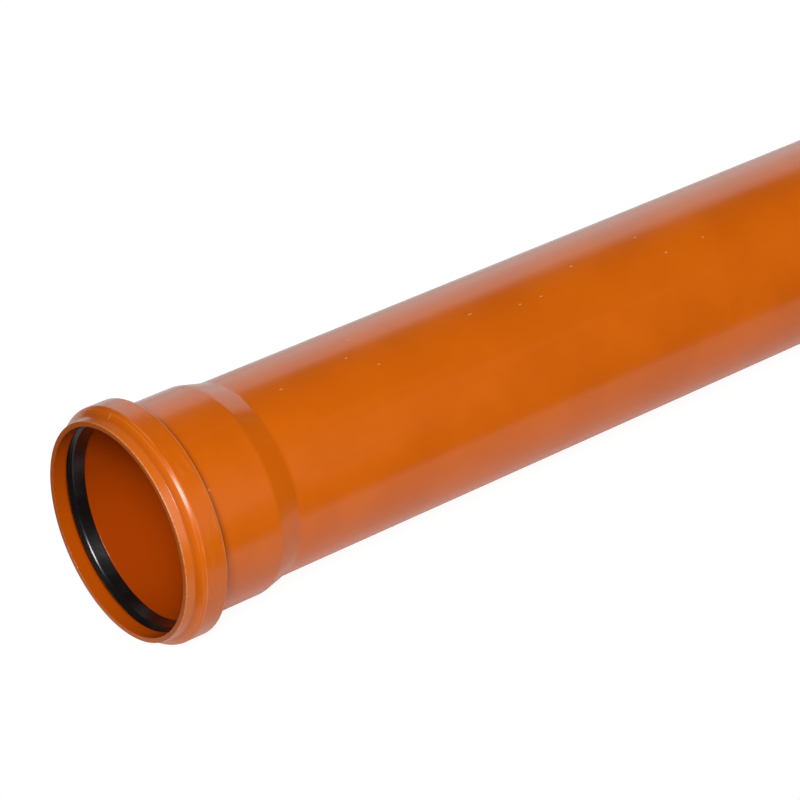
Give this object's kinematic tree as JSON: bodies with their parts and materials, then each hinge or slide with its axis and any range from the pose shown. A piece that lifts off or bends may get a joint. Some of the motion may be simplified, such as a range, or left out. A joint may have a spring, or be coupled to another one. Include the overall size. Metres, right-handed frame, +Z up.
{
  "type": "drainage pipe",
  "caption": "Round orange plastic drain pipe with a plain chamfered spigot end and a belled push-fit socket that holds a black rubber seal ring.",
  "frame": {"origin": "on the floor under the pipe's axis, midway between the socket's mouth and the spigot end", "axes": "+X along the pipe's axis from the socket's mouth to the spigot end, +Z up, with the pipe lying on its side"},
  "size_m": [1.062, 0.1313, 0.1314],
  "materials": {
    "pipe": "smooth extruded plastic with a soft sheen",
    "seal_ring": "moulded black rubber with a faint sheen"
  },
  "bodies": {
    "root": {"pipe": "pipe", "seal_ring": "seal_ring"}
  },
  "joints": []
}
